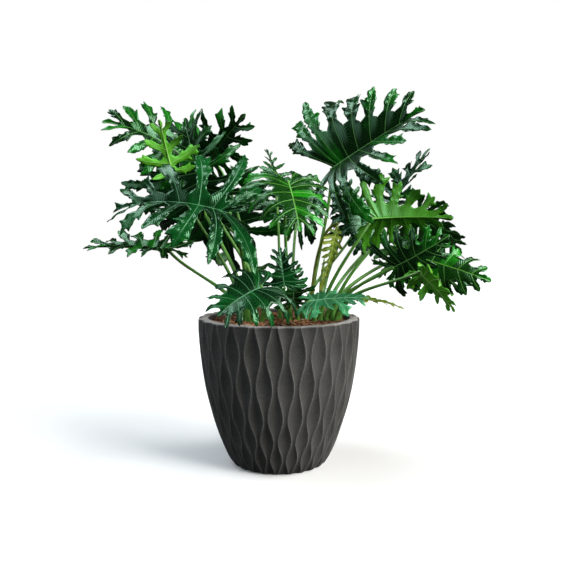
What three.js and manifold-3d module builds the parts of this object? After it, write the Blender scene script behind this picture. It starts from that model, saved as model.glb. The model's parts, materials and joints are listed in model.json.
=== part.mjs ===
// Potted tree philodendron: a round tapered planter with a waved relief, soil, bark mulch, three
// crowns, and deeply lobed leaves on long stalks. Lengths are millimetres and +Z is up. The origin
// is the centre of the pot's base, and the plant's front looks towards -Y.

import * as THREE from 'three';
import { mergeVertices } from 'three/addons/utils/BufferGeometryUtils.js';
import Module from 'manifold-3d';

const wasm = await Module();
wasm.setup();

const rad = THREE.MathUtils.degToRad;
const GAP = 0.3; // clearance between neighbouring pieces

// Pot
const POT_HEIGHT = 368;
const POT_WALL = 25;
const POT_FLOOR = 22;
const POT_PROFILE = [
  [0, 118], [5, 123], [31, 136], [61, 149], [92, 159.5], [123, 169], [153, 177.5],
  [184, 184.5], [215, 190], [245, 194.5], [276, 198], [307, 201], [338, 202.5], [368, 203],
]; // height and radius of the crests
const CRESTS = 48;
const RELIEF_TURN = rad(-96.2);
const CREST_SWING = rad(1.9); // how far each crest waves to either side
const FLUTE_DEPTH = 0.115; // depth of a flute as a share of its width
const PINCH_HEIGHTS = [0, 41, 90, 148, 224, 300, 376]; // where the crests swing furthest
const INNER_LEVELS = [POT_FLOOR, 80, 200, POT_HEIGHT + 1]; // heights of the hollow's rings
const INNER_SIDES = 32;
const DRAIN_HOLES = 5;
const DRAIN_RADIUS = 7;
const DRAIN_CIRCLE = 55;

// Filling
const SOIL_TOP = 335;
const MULCH_TOP = 355;

// Crowns: the short stems at soil level
const CROWN_BOTTOM = 300;
const CROWN_PROFILE = [[CROWN_BOTTOM, 18], [355, 21], [385, 17], [405, 9]];
const CROWN_SIDES = 12;
const CROWNS = {
  right: new THREE.Vector2(108, 12),
  left: new THREE.Vector2(-62, -4),
  centre: new THREE.Vector2(32, 22),
};
const SPEARS = {
  right: { tip: new THREE.Vector3(116, 18, 520), radius: 5 },
  left: { tip: new THREE.Vector3(-70, 10, 545), radius: 4.5 },
};

// Leaf stalks
const STALK_SIDES = 6;
const STALK_STEPS = 7;

// Leaf blades
const BLADE_THICKNESS = 1.2;
const SHOULDER = 0.78; // where a lobe starts to narrow, as a share of its length
// The side lobes of a leaf from its base to its tip: where the lobe's vein leaves the midrib, how
// far its angle has turned from that of the first lobe to that of the last, its length and its
// half-width. All but the turn are shares of the leaf's length.
const LOBE_START = [0.03, 0.05, 0.08, 0.14, 0.23, 0.34, 0.47, 0.6, 0.73];
const LOBE_TURN = [0, 0.17, 0.33, 0.47, 0.61, 0.72, 0.82, 0.91, 1];
const LAST_LOBE_ANGLE = 42;
const LOBE_LENGTH = [0.46, 0.6, 0.66, 0.62, 0.54, 0.46, 0.39, 0.34, 0.28];
const LOBE_HALF_WIDTH = [0.04, 0.046, 0.049, 0.05, 0.05, 0.047, 0.043, 0.039, 0.035];

// Every leaf: the crown it grows from, the angle and the distance of its foot from that crown's axis,
// the point where the stalk meets the blade, the point of its tip, the way its upper face looks, how
// far the midrib bends down over its length, how far its halves are raised, how far they curl down,
// the number of lobes to a side, its width, the angle of the first lobe to the midrib, the share of a
// lobe that is joined to the next one, and a number that makes the leaf its own.
const LEAVES = [
  ['upper_left', 'left', 135, 30, [-271, 172, 795], [-465, 96, 871], [-0.05, -0.8, 0.6],
    44, 23, 37, 7, 1.1, 129, 0.24, 14],
  ['lime_left', 'left', 168, 30, [-262, -20, 726], [-286, -60, 850], [-0.3, 0.9, 0.3],
    30, 6, 15, 4, 0.95, 100, 0.14, 2],
  ['upper_centre_left', 'left', 100, 30, [-182, 127, 783], [-84, 17, 876], [0.2, -0.95, 0.15],
    22, 22, 31, 6, 1.2, 135, 0.26, 71],
  ['broad_left', 'left', 238, 30, [-117, -153, 624], [-390, -106, 629], [0.1, -0.75, 0.65],
    55, 29, 42, 7, 1.05, 146, 0.14, 4],
  ['level_left', 'left', 200, 30, [-288, 37, 534], [-499, 20, 541], [-0.35, -0.3, 0.9],
    12, 30, 40, 8, 0.9, 141, 0.24, 17],
  ['mid_left', 'left', 30, 30, [-190, 62, 677], [-243, 68, 876], [-0.3, -0.85, 0.4],
    35, 15, 27, 8, 1.25, 149, 0.22, 63],
  ['front_centre', 'centre', 260, 30, [23, -169, 690], [46, -254, 581], [0.25, -0.85, 0.4],
    16, 4, 21, 7, 1.5, 149, 0.34, 81],
  ['small_centre', 'centre', 190, 30, [-11, 53, 714], [-33, 82, 798], [0.55, -0.8, 0.1],
    23, 32, 27, 6, 0.85, 134, 0.14, 54],
  ['upper_right', 'right', 160, 30, [139, 49, 746], [361, -4, 884], [-0.65, -0.7, 0.3],
    8, 39, 35, 8, 1.35, 121, 0.38, 50],
  ['light_right', 'right', 262, 30, [235, -31, 615], [430, -27, 615], [-0.05, 0.95, 0.25],
    36, 26, 16, 7, 0.85, 130, 0.34, 57],
  ['dark_right_back', 'centre', 20, 30, [212, 146, 613], [175, 172, 725], [-0.05, -0.95, 0.25],
    19, 7, 30, 6, 1.2, 129, 0.3, 47],
  ['drooping_right', 'right', 92, 30, [211, 87, 633], [217, 42, 522], [0.3, -0.85, 0.4],
    19, 7, 34, 6, 1.25, 128, 0.6, 80],
  ['back_right_top', 'right', 62, 30, [312, 185, 652], [417, 187, 813], [-0.35, -0.4, 0.85],
    8, 20, 5, 6, 0.85, 108, 0.2, 53],
  ['right_upper', 'right', 288, 30, [275, -101, 499], [395, -135, 574], [-0.35, -0.9, -0.3],
    32, 7, 33, 7, 1.05, 141, 0.3, 22],
  ['right_outer', 'right', 332, 30, [340, -5, 520], [523, -43, 460], [-0.45, -0.8, 0.4],
    24, 0, 62, 7, 0.95, 139, 0.36, 55],
  ['right_lime', 'right', 320, 46, [319, -188, 488], [392, -201, 403], [0.65, 0.5, 0.55],
    14, 15, 50, 5, 0.95, 125, 0.36, 60],
  ['right_back_drooping', 'right', 2, 30, [362, 83, 628], [476, 56, 525], [-0.25, 0.6, 0.75],
    35, 13, 51, 7, 1.1, 115, 0.24, 5],
  ['narrow_right', 'right', 345, 46, [184, 0, 412], [313, -29, 390], [0.15, -0.25, 0.95],
    28, 6, 21, 5, 0.35, 84, 0.36, 7],
  ['front_left_low', 'left', 270, 44, [-42, -201, 457], [-130, -262, 401], [0.2, -0.6, 0.75],
    36, 14, 31, 7, 1.6, 156, 0.48, 88],
  ['front_small', 'left', 310, 30, [13, -115, 455], [2, -102, 546], [0.05, -0.85, 0.5],
    26, 8, 17, 7, 1.05, 130, 0.42, 77],
  ['front_right_low', 'right', 245, 46, [75, -170, 425], [204, -193, 434], [-0.25, -0.25, 0.95],
    10, 0, 12, 7, 1, 127, 0.5, 53],
  ['dark_centre', 'centre', 300, 30, [36, -49, 410], [33, -60, 509], [0.15, -1, 0.05],
    30, 15, 26, 7, 0.95, 135, 0.34, 36],
  ['twisted_yellow', 'right', 205, 30, [144, -30, 596], [104, -28, 437], [0.7, -0.75, 0.05],
    8, 0, 15, 8, 0.35, 87, 0.28, 66],
  ['back_left', 'left', 65, 30, [-141, 195, 593], [-397, 222, 773], [-0.75, -0.55, 0.4],
    8, 12, 80, 7, 1.55, 152, 0.26, 23],
  ['back_centre', 'centre', 85, 30, [53, 185, 635], [64, 329, 751], [0.35, 0.2, 0.9],
    66, 12, 47, 8, 1.15, 152, 0.26, 32],
  ['back_right', 'right', 32, 30, [384, 197, 547], [543, 291, 399], [0.05, 0.9, 0.45],
    11, 11, 38, 7, 0.95, 152, 0.26, 54],
];

// A repeatable number from 0 to 1.
function chance(seed, step) {
  const wave = Math.sin(seed * 12.9898 + step * 78.233) * 43758.5453;
  return wave - Math.floor(wave);
}

// A repeatable number from -1 to 1.
function swing(seed, step) {
  return 2 * chance(seed, step) - 1;
}

// The value of an evenly spaced list at a share of its span.
function sample(list, share) {
  const place = share * (list.length - 1);
  const low = Math.min(Math.floor(place), list.length - 2);
  return list[low] + (list[low + 1] - list[low]) * (place - low);
}

// The second value of rows of [height, value], at a height.
function valueAt(rows, height) {
  let row = 0;
  while (row < rows.length - 2 && rows[row + 1][0] < height) row++;
  const [low, lowValue] = rows[row];
  const [high, highValue] = rows[row + 1];
  return lowValue + ((highValue - lowValue) * (height - low)) / (high - low);
}

// A geometry of points and of faces that each name three of them.
function meshOf(points, faces) {
  const geometry = new THREE.BufferGeometry();
  const numbers = points.flatMap((point) => [point.x, point.y, point.z]);
  geometry.setAttribute('position', new THREE.Float32BufferAttribute(numbers, 3));
  geometry.setIndex(faces.flat());
  return geometry;
}

// A closed solid through rings of points, each ring running anticlockwise seen from its far end.
function ringSolid(rings) {
  const sides = rings[0].length;
  const points = rings.flat();
  const faces = [];
  for (let ring = 0; ring + 1 < rings.length; ring++) {
    for (let side = 0; side < sides; side++) {
      const a = ring * sides + side;
      const b = ring * sides + ((side + 1) % sides);
      faces.push([a, b, b + sides], [a, b + sides, a + sides]);
    }
  }
  const last = points.length - sides;
  for (let side = 1; side + 1 < sides; side++) {
    faces.push([0, side + 1, side]);
    faces.push([last, last + side, last + side + 1]);
  }
  return meshOf(points, faces);
}

// A level ring of a round solid.
function levelRing(centre, radius, height, sides) {
  const ring = [];
  for (let side = 0; side < sides; side++) {
    const angle = (2 * Math.PI * side) / sides;
    const x = centre.x + radius * Math.cos(angle);
    const y = centre.y + radius * Math.sin(angle);
    ring.push(new THREE.Vector3(x, y, height));
  }
  return ring;
}

// A round upright solid from rows of [height, radius].
function turned(centre, rows, sides) {
  return ringSolid(rows.map(([height, radius]) => levelRing(centre, radius, height, sides)));
}

// Geometry to solid and back, for cutting one solid from another.
function solidOf(geometry) {
  const clean = geometry.clone();
  clean.deleteAttribute('normal');
  clean.deleteAttribute('uv');
  const merged = mergeVertices(clean, 1e-4);
  const mesh = new wasm.Mesh({
    numProp: 3,
    vertProperties: new Float32Array(merged.attributes.position.array),
    triVerts: new Uint32Array(merged.index.array),
  });
  return new wasm.Manifold(mesh);
}

function geometryOf(solid) {
  const mesh = solid.getMesh();
  const geometry = new THREE.BufferGeometry();
  geometry.setAttribute('position', new THREE.BufferAttribute(mesh.vertProperties, 3));
  geometry.setIndex(new THREE.BufferAttribute(mesh.triVerts, 1));
  return geometry;
}

function cut(geometry, tools) {
  let solid = solidOf(geometry);
  for (const tool of tools) solid = solid.subtract(solidOf(tool));
  return geometryOf(solid);
}

// The swing of the crests at a height, from -1 to 1.
function crestWave(height) {
  const turns = valueAt(PINCH_HEIGHTS.map((pinch, index) => [pinch, index]), height);
  return Math.cos(Math.PI * turns);
}

// One level ring of the pot's outside: a point on each crest and one in each flute.
function reliefRing(height) {
  const radius = valueAt(POT_PROFILE, height);
  const wave = crestWave(height);
  const pitch = (2 * Math.PI) / CRESTS;
  const crestAngle = (crest) => {
    const way = crest % 2 === 0 ? 1 : -1;
    return RELIEF_TURN + crest * pitch + way * CREST_SWING * wave;
  };
  const ring = [];
  for (let crest = 0; crest < CRESTS; crest++) {
    const here = crestAngle(crest);
    const next = crestAngle(crest + 1);
    const depth = FLUTE_DEPTH * radius * (next - here);
    for (const [angle, distance] of [[here, radius], [(here + next) / 2, radius - depth]]) {
      ring.push(new THREE.Vector3(distance * Math.cos(angle), distance * Math.sin(angle), height));
    }
  }
  return ring;
}

// A solid that fills the pot between two heights, smaller than the hollow by a clearance.
function filling(bottom, top, clearance) {
  const hollow = INNER_LEVELS.map((z) => [z, valueAt(POT_PROFILE, z) - POT_WALL]);
  const levels = INNER_LEVELS.filter((z) => z > bottom && z < top);
  const rows = [bottom, ...levels, top].map((z) => [z, valueAt(hollow, z) - clearance]);
  return turned(new THREE.Vector2(0, 0), rows, INNER_SIDES);
}

function potGeometry() {
  const heights = [0, 5, 20, 41, 65, 90, 119, 148, 186, 224, 262, 300, 338, POT_HEIGHT];
  const outside = ringSolid(heights.map(reliefRing));
  const holes = [];
  for (let hole = 0; hole < DRAIN_HOLES; hole++) {
    const angle = (2 * Math.PI * hole) / DRAIN_HOLES;
    const centre = new THREE.Vector2(DRAIN_CIRCLE * Math.cos(angle), DRAIN_CIRCLE * Math.sin(angle));
    holes.push(turned(centre, [[-1, DRAIN_RADIUS], [POT_FLOOR + 1, DRAIN_RADIUS]], 8));
  }
  return cut(outside, [filling(POT_FLOOR, POT_HEIGHT + 1, 0), ...holes]);
}

// A crown, grown by a clearance where it cuts the hole that it stands in.
function crownGeometry(centre, clearance) {
  const rows = CROWN_PROFILE.map(([height, radius]) => [height, radius + clearance]);
  rows[0][0] -= clearance;
  return turned(centre, rows, CROWN_SIDES);
}

function layerGeometry(bottom, top) {
  const holes = Object.values(CROWNS).map((centre) => crownGeometry(centre, GAP));
  return cut(filling(bottom, top, GAP), holes);
}

// A tapering tube along a curve, with a radius at each end.
function tube(path, footRadius, endRadius, sides, steps) {
  const frames = path.computeFrenetFrames(steps);
  const rings = [];
  for (let step = 0; step <= steps; step++) {
    const share = step / steps;
    const centre = path.getPointAt(share);
    const radius = footRadius + (endRadius - footRadius) * Math.min(1, 1.4 * share ** 0.7);
    const ring = [];
    for (let side = 0; side < sides; side++) {
      const angle = (2 * Math.PI * side) / sides;
      const arm = frames.normals[step].clone().multiplyScalar(radius * Math.cos(angle));
      arm.addScaledVector(frames.binormals[step], radius * Math.sin(angle));
      ring.push(centre.clone().add(arm));
    }
    rings.push(ring);
  }
  return ringSolid(rings);
}

function spearGeometry(crown, spear) {
  const foot = new THREE.Vector3(crown.x, crown.y, CROWN_PROFILE.at(-1)[0] + GAP);
  const knee = foot.clone().setZ((foot.z + spear.tip.z) / 2);
  const path = new THREE.QuadraticBezierCurve3(foot, knee, spear.tip);
  return tube(path, spear.radius, 1, STALK_SIDES, 4);
}

// The leaf as named values, with its own axes: along the midrib, across it, and out of its face.
function readLeaf(row) {
  const [name, crown, footAngle, footReach, base, tip, face, ...rest] = row;
  const [bend, fold, curl, lobes, width, spread, joined, seed] = rest;
  const basePoint = new THREE.Vector3(...base);
  const tipPoint = new THREE.Vector3(...tip);
  const along = tipPoint.clone().sub(basePoint);
  const chord = along.length();
  along.normalize();
  const out = new THREE.Vector3(...face);
  out.addScaledVector(along, -out.dot(along)).normalize();
  const across = out.clone().cross(along);
  const bent = rad(bend);
  return {
    name, crown, footAngle, footReach, basePoint, along, across, out, lobes, width, spread, joined, seed,
    bent, fold: rad(fold), curl: rad(curl),
    length: (chord * bent) / 2 / Math.sin(bent / 2),
  };
}

// From a place on the flat leaf, with a lift off its face, to the place on the bent leaf.
function shaped(leaf, x, y, lift = 0) {
  const side = y < 0 ? -1 : 1;
  const reach = Math.abs(y);
  const curlRate = leaf.curl / (0.5 * leaf.length);
  const tilt = leaf.fold - curlRate * reach;
  const sideways = (Math.sin(leaf.fold) - Math.sin(tilt)) / curlRate - lift * Math.sin(tilt);
  const raised = (Math.cos(tilt) - Math.cos(leaf.fold)) / curlRate + lift * Math.cos(tilt);
  const bendRate = leaf.bent / leaf.length;
  const heading = bendRate * x;
  const forward = Math.sin(heading) / bendRate + raised * Math.sin(heading);
  const upward = (Math.cos(heading) - 1) / bendRate + raised * Math.cos(heading);
  const level = leaf.bent / 2;
  return leaf.basePoint
    .clone()
    .addScaledVector(leaf.along, forward * Math.cos(level) - upward * Math.sin(level))
    .addScaledVector(leaf.out, forward * Math.sin(level) + upward * Math.cos(level))
    .addScaledVector(leaf.across, side * sideways);
}

// Where a lobe's vein leaves the midrib, as a distance from the base. The veins crowd at the base
// of a leaf whose first lobes point back, and are evenly spaced on one whose lobes all point forward.
function lobeStart(leaf, index) {
  const share = index / (leaf.lobes - 1);
  const evenness = THREE.MathUtils.clamp((110 - leaf.spread) / 30, 0, 1);
  const even = 0.1 + 0.63 * share;
  return leaf.length * (evenness * even + (1 - evenness) * sample(LOBE_START, share));
}

// The marks on the midrib between which the lobes of one side start.
function midribMarks(leaf) {
  const marks = [0];
  for (let index = 0; index + 1 < leaf.lobes; index++) {
    marks.push((lobeStart(leaf, index) + lobeStart(leaf, index + 1)) / 2);
  }
  marks.push(1.25 * lobeStart(leaf, leaf.lobes - 1) - 0.25 * lobeStart(leaf, leaf.lobes - 2));
  return marks;
}

// The vein of a lobe as a curve on the flat leaf, on the side where y is above 0, and how the lobe
// leaves the flat: its droop as a share of its length, and its twist.
function lobeOf(leaf, side, index) {
  const share = index / (leaf.lobes - 1);
  const key = 20 * index + (side > 0 ? 0 : 10);
  const turned = sample(LOBE_TURN, share);
  const angle = rad(leaf.spread + (LAST_LOBE_ANGLE - leaf.spread) * turned + 4 * swing(leaf.seed, key));
  const varied = 1 + 0.12 * swing(leaf.seed, key + 1);
  const long = leaf.length * leaf.width * sample(LOBE_LENGTH, share) * varied;
  const room = Math.min(1, 0.3 + 0.9 * leaf.width) / (leaf.lobes + 2.5);
  const widest = (7 + 9.5 * leaf.joined) * room * leaf.length * sample(LOBE_HALF_WIDTH, share);
  const from = new THREE.Vector2(lobeStart(leaf, index), 0);
  const knee = new THREE.Vector2(Math.cos(angle + 0.14), Math.sin(angle + 0.14));
  const to = new THREE.Vector2(Math.cos(angle - 0.05), Math.sin(angle - 0.05));
  return {
    vein: new THREE.QuadraticBezierCurve(
      from,
      from.clone().addScaledVector(knee, 0.5 * long),
      from.clone().addScaledVector(to, long),
    ),
    long,
    half: Math.min(widest, 0.45 * long * Math.sin(angle)),
    droop: 0.14 + 0.2 * swing(leaf.seed, key + 2),
    twist: 0.5 * swing(leaf.seed, key + 3),
  };
}

// A point of a lobe past the notch beside it: a share of the vein's length, and a distance to
// the side of the vein, positive towards the leaf's tip.
function lobePoint(leaf, lobe, side, share, offset) {
  const centre = lobe.vein.getPoint(share);
  const way = lobe.vein.getTangent(share);
  const past = Math.max(0, (share - leaf.joined) / (1 - leaf.joined));
  const turn = lobe.twist * past;
  const x = centre.x + way.y * offset * Math.cos(turn);
  const y = centre.y - way.x * offset * Math.cos(turn);
  const lift = offset * Math.sin(turn) - lobe.droop * lobe.long * past * past;
  return shaped(leaf, x, side * y, lift);
}

// A thin closed plate from points of its middle surface and faces seen from above.
function plate(points, faces, thickness) {
  const surface = meshOf(points, faces);
  surface.computeVertexNormals();
  const normals = surface.attributes.normal;
  const count = points.length;
  const layers = [0.5, -0.5].flatMap((step) =>
    points.map((point, index) => {
      const out = new THREE.Vector3().fromBufferAttribute(normals, index);
      return point.clone().addScaledVector(out, step * thickness);
    }),
  );
  const solid = [];
  const edges = new Set(faces.flatMap(([a, b, c]) => [`${a} ${b}`, `${b} ${c}`, `${c} ${a}`]));
  for (const [a, b, c] of faces) {
    solid.push([a, b, c], [a + count, c + count, b + count]);
    for (const [from, to] of [[a, b], [b, c], [c, a]]) {
      if (edges.has(`${to} ${from}`)) continue;
      solid.push([from, from + count, to + count], [from, to + count, to]);
    }
  }
  return meshOf(layers, solid);
}

function bladeGeometry(leaf) {
  const points = [];
  const faces = [];
  const add = (point) => points.push(point) - 1;
  const marks = midribMarks(leaf).map((mark) => add(shaped(leaf, mark, 0)));
  const end = marks.at(-1);
  const endStart = midribMarks(leaf).at(-1);
  const endVein = new THREE.Vector2(endStart + leaf.joined * (leaf.length - endStart), 0);
  const lastNotches = [];
  for (const side of [1, -1]) {
    const face = (a, b, c) => faces.push(side > 0 ? [a, b, c] : [a, c, b]);
    const lobes = [...Array(leaf.lobes).keys()].map((index) => lobeOf(leaf, side, index));
    const corner = add(shaped(leaf, 0, side * (1 + 0.01 * leaf.length)));
    let near = add(lobePoint(leaf, lobes[0], side, leaf.joined, -0.45 * lobes[0].half));
    face(marks[0], marks[1], corner);
    lobes.forEach((lobe, index) => {
      const here = lobe.vein.getPoint(leaf.joined);
      const beyond = index + 1 < lobes.length ? lobes[index + 1].vein.getPoint(leaf.joined) : endVein;
      const notch = add(shaped(leaf, (here.x + beyond.x) / 2, (side * (here.y + beyond.y)) / 2));
      const nearShoulder = add(lobePoint(leaf, lobe, side, SHOULDER, -lobe.half));
      const farShoulder = add(lobePoint(leaf, lobe, side, SHOULDER, lobe.half));
      const tip = add(lobePoint(leaf, lobe, side, 1, 0));
      const root = index === 0 ? corner : marks[index];
      face(root, marks[index + 1], notch);
      face(root, notch, near);
      face(near, notch, nearShoulder);
      face(nearShoulder, notch, farShoulder);
      face(nearShoulder, farShoulder, tip);
      near = notch;
    });
    lastNotches.push(near);
  }
  const [left, right] = lastNotches;
  const half = (0.4 + 0.5 * leaf.joined) * sample(LOBE_HALF_WIDTH, 0.6) * leaf.length;
  const shoulder = endStart + SHOULDER * (leaf.length - endStart);
  const leftShoulder = add(shaped(leaf, shoulder, half));
  const rightShoulder = add(shaped(leaf, shoulder, -half));
  const tip = add(shaped(leaf, leaf.length, 0));
  faces.push([end, right, left], [left, right, rightShoulder]);
  faces.push([left, rightShoulder, leftShoulder], [leftShoulder, rightShoulder, tip]);
  return plate(points, faces, BLADE_THICKNESS);
}

function stalkGeometry(leaf) {
  const centre = CROWNS[leaf.crown];
  const angle = rad(leaf.footAngle);
  const footX = centre.x + leaf.footReach * Math.cos(angle);
  const footY = centre.y + leaf.footReach * Math.sin(angle);
  const foot = new THREE.Vector3(footX, footY, MULCH_TOP + GAP);
  const end = leaf.basePoint.clone().addScaledVector(leaf.along, -5.5).addScaledVector(leaf.out, -1.6);
  const reach = end.distanceTo(foot);
  const rise = foot.clone().add(new THREE.Vector3(0, 0, 0.3 * reach));
  const line = end.clone().sub(foot).normalize();
  const aside = Math.abs(line.dot(leaf.across));
  const inLine = Math.max(0, line.dot(leaf.along)) * Math.max(0, 1 - 1.5 * aside);
  const arrival = line.multiplyScalar(0.6).addScaledVector(leaf.along, 0.3 + 0.5 * inLine);
  arrival.addScaledVector(leaf.out, 0.9 * (1 - inLine)).normalize();
  const bow = end.clone().addScaledVector(arrival, -0.3 * reach);
  const path = new THREE.CubicBezierCurve3(foot, rise, bow, end);
  const stout = 3.2 + 0.008 * leaf.length;
  return tube(path, stout + 1.8, 0.65 * stout + 0.9, STALK_SIDES, STALK_STEPS);
}

// A named mesh of the part.
function piece(name, geometry, colour, roughness) {
  const flat = geometry.index ? geometry.toNonIndexed() : geometry;
  flat.deleteAttribute('normal');
  flat.computeVertexNormals();
  const mesh = new THREE.Mesh(flat, new THREE.MeshStandardMaterial({ color: colour, roughness }));
  mesh.name = name;
  return mesh;
}

const part = new THREE.Group();
part.name = 'potted_tree_philodendron';
part.add(piece('pot', potGeometry(), 0x3d3d3c, 0.8));
part.add(piece('potting_soil', layerGeometry(POT_FLOOR + GAP, SOIL_TOP), 0x2b2018, 0.95));
part.add(piece('bark_mulch', layerGeometry(SOIL_TOP + GAP, MULCH_TOP), 0x6b4a30, 0.9));
for (const [name, centre] of Object.entries(CROWNS)) {
  part.add(piece(`crown_${name}`, crownGeometry(centre, 0), 0x6d5a3c, 0.85));
}
for (const [name, spear] of Object.entries(SPEARS)) {
  part.add(piece(`new_leaf_${name}`, spearGeometry(CROWNS[name], spear), 0x8fae4a, 0.5));
}
for (const leaf of LEAVES.map(readLeaf)) {
  part.add(piece(`stalk_${leaf.name}`, stalkGeometry(leaf), 0x5f8f3e, 0.55));
  part.add(piece(`blade_${leaf.name}`, bladeGeometry(leaf), 0x1f6b2c, 0.4));
}

export default part;
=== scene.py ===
"""Looks of a potted tree philodendron: waved planter, bark mulch, crowns, stalks and lobed leaves.

Shapes are worked out in millimetres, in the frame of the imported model, and written in metres.
"""
import json
import math

import bpy
import numpy as np
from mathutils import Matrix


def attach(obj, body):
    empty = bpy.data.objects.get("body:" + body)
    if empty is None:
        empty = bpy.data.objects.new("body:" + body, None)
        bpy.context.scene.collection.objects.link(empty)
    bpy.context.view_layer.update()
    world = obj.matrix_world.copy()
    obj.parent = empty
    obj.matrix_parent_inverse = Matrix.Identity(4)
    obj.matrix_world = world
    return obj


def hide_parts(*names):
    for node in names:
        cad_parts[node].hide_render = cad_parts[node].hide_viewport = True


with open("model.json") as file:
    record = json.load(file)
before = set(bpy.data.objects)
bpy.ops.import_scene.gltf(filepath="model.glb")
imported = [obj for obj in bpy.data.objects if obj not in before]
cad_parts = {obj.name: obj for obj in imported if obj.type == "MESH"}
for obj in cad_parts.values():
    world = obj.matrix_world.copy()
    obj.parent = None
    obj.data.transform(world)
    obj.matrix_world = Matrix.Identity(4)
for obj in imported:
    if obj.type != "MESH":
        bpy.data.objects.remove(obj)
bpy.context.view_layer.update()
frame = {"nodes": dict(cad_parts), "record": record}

MM = 0.001
TURN = 2 * math.pi
RANDOM = np.random.default_rng(20)

# Planter
POT_HEIGHT = 368
POT_WALL = 25
POT_FLOOR = 22
POT_PROFILE = np.array([
    (0, 118), (5, 123), (31, 136), (61, 149), (92, 159.5), (123, 169), (153, 177.5),
    (184, 184.5), (215, 190), (245, 194.5), (276, 198), (307, 201), (338, 202.5), (368, 203),
])  # height and radius of the crests
POT_CURVE = np.poly1d(np.polyfit(POT_PROFILE[:, 0], POT_PROFILE[:, 1], 6))
CRESTS = 48
RELIEF_TURN = math.radians(-96.2)
CREST_SWING = math.radians(1.9)
FLUTE_DEPTH = 0.2  # depth of a flute as a share of its width
FLUTE_STEPS = [0, 0.05, 0.14, 0.27, 0.42, 0.58, 0.73, 0.86, 0.95]  # columns of points across a flute
PINCH_HEIGHTS = [0, 41, 90, 148, 224, 300, 376]  # where the crests swing furthest
RELIEF_ROWS = 112
CREST_WEAR_AND_HIGHLIGHT = 0.05  # half-width of the pale line along a crest, partly wear and partly painted highlight, as a share of a flute's width
FOOT_ROUNDING = 3
FOOT_ROUNDED = 4  # height up to which the foot is rounded
RIM_ROUNDING = 4
RIM_ROWS = 5
LIP_ROUNDING = 3  # of the rim's inner edge
LIP_WIDTH = 12  # from the inner edge to the highest ring of the rim
LIP_RISE = 0.3  # of that ring over the rim
HOLLOW_HEIGHTS = [350, 330, 280, 200, 120, 60, POT_FLOOR]
DRAIN_HOLES = 5
DRAIN_SIDES = 24
DRAIN_RADIUS = 7
DRAIN_CIRCLE = 55  # radius of the circle that the holes are on
DRAIN_OVERRUN = 5  # of the cutting tool, over and under the floor

# Mulch
MULCH_BOTTOM = 336
MULCH_TOP = 355
MULCH_CLEARANCE = 0.3
MULCH_EDGE = 6  # width of the slope beside the planter's wall
MULCH_EDGE_DROP = 3
MULCH_ROUGHNESS = 1.6
MULCH_WAVES = 24
MULCH_WAVE_LENGTHS = (9, 40)
MULCH_RINGS = 60
MULCH_SIDES = 180
CHIPS = 1500
CHIP_CORNERS = 8
CHIP_LENGTHS = (6, 10, 24)  # the shortest, the commonest and the longest
CHIP_THICKNESSES = (1.8, 4)
CHIP_TILT = 0.22
CHIP_RINGS = [(0.72, -0.5), (1, 0), (0.75, 0.5)]  # reach and height of each ring, as shares of the chip's
CROWN_CLEARANCE = 20  # from a crown's axis to the nearest chip

# Crowns and new leaves
CROWN_PROFILE = np.array([(300, 18), (355, 21), (385, 17), (405, 9)])  # height and radius
CROWNS = {"right": (108, 12), "left": (-62, -4), "centre": (32, 22)}  # place of each axis
CROWN_FOOT = 320
CROWN_TOP = 405
CROWN_ROWS = 56
CROWN_SIDES = 48
SCAR_STEP = 9  # between the turns of the scars that wind up a crown
SCAR_DEPTH = 1.6
SHEATHS = 5
SHEATH_FOOT = 350
SHEATH_ROWS = 16
SHEATH_COLUMNS = 9
SHEATH_LENGTH = 52
SHEATH_THICKNESS = 0.5
SPEARS = {"right": ((116, 18, 520), 5), "left": ((-70, 10, 545), 4.5)}  # tip and radius
SPEAR_ROWS = 60
SPEAR_SIDES = 36
SPEAR_DEPTH = 14  # of its foot in the crown

# Leaf stalks, midribs and veins
END_RADII = np.array([0.25, 0.7, 0.95])  # of the rings of a round end, as shares of the tube's radius
END_LENGTH = 0.8  # the same for the length of the end
STALK_SIDES = 16
GROOVE_DEPTH = 0.14  # as a share of the stalk's radius
GROOVE_WIDTH = 0.45
STALK_STEP = 9  # length of a stretch of stalk
STALK_FOOT = (1.6, 14)  # how much the foot swells, and how far up
STALK_TOP = (0.5, 12)  # the same at the top
STALK_SAMPLES = 400  # of its curve, to measure its length

# Leaf blades
POINT_VALUES = ("vein_gap", "vein_run", "rib_gap", "margin", "reach", "tone")  # that the finish reads
BLADE_THICKNESS = 0.9
ROW_STEP = 2.6  # length of a row of a lobe past the notch beside it
JOINED_STEP = 4.5  # the same where the lobes are joined
COLUMNS = np.array([-1, -0.6, -0.2, 0, 0.2, 0.6, 1])  # across a lobe, from its near to its far edge
NOTCH_SHARE = 0.16  # of a lobe past the notch beside it, over which the notch opens
QUILT_DEPTH = 0.013  # of the hollows between joined lobes, as a share of the leaf's length
RUFFLE = 0.14  # height of the waves in an edge, as a share of the lobe's half-width
TOOTH_STEP = 22
TOOTH_PEAK = 0.72  # where a tooth is highest, as a share of its length
FORK_DEPTH = 0.5
FORKED_SHARE = 0.35  # lobe edges with a deep cut near the tip
FINGERED_SHARE = 0.5  # places for a side finger that have one
SHORTEST_FINGERED = 55  # length of the shortest lobe with side fingers
FINGER_LEAN = 0.9  # how far a side finger leans to the tip, as a share of how far it stands out
LAST_LOBE_ANGLE = 42
SIDE_VEIN_STEP = 7.5
END_LOBE_DROOP = 0.05
WELD_DIGITS = 4  # points of lobes side by side that agree to so many digits are one
MIDRIB_SIDES = 10
VEIN_SIDES = 6
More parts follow.
